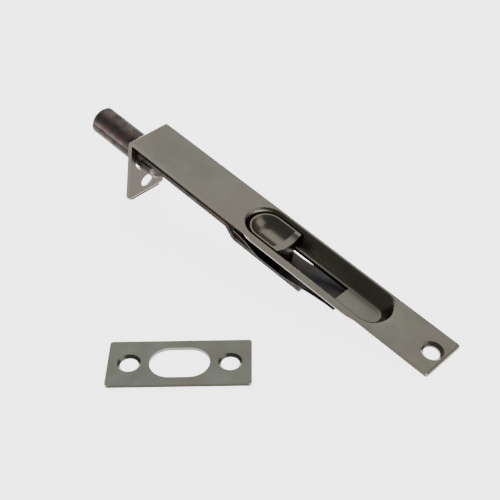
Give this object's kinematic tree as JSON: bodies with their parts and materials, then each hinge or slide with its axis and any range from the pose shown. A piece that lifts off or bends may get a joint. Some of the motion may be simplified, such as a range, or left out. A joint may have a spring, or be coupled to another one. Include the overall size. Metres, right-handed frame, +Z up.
{
  "type": "flush bolt",
  "caption": "Slide-action flush bolt: narrow flanged faceplate with a drawn thumb recess, a scooped slide that drives a round bolt through the flange, and a loose slotted strike plate.",
  "frame": {"origin": "centre of the set's bounding box in plan, on the table it lies on", "axes": "+X runs level from the bolt's flange end towards the far end of its faceplate, +Y to the side away from the strike plate, +Z up from the table"},
  "size_m": [0.1796, 0.0956, 0.0322],
  "materials": {
    "antique_nickel": "satin plated steel, darkened antique nickel with a faint warm and green mottle",
    "dark_bronze": "unpolished brass under a patchy dark bronze wash, coppery where it is rubbed",
    "spring_steel": "blued spring steel, smooth"
  },
  "bodies": {
    "fixed_plates": {"faceplate": "antique_nickel", "strike_plate": "antique_nickel"},
    "bolt": {"bolt_rod": "dark_bronze", "tail_bar": "dark_bronze", "rod_rivet": "dark_bronze", "thumb_slide": "antique_nickel", "slide_rivet": "dark_bronze", "friction_leaf": "spring_steel"}
  },
  "joints": [
    {"name": "bolt_slide", "type": "slide", "parent": "fixed_plates", "child": "bolt", "axis": [0.9794, 0, -0.2019], "range_m": [0, 0.0254]}
  ]
}
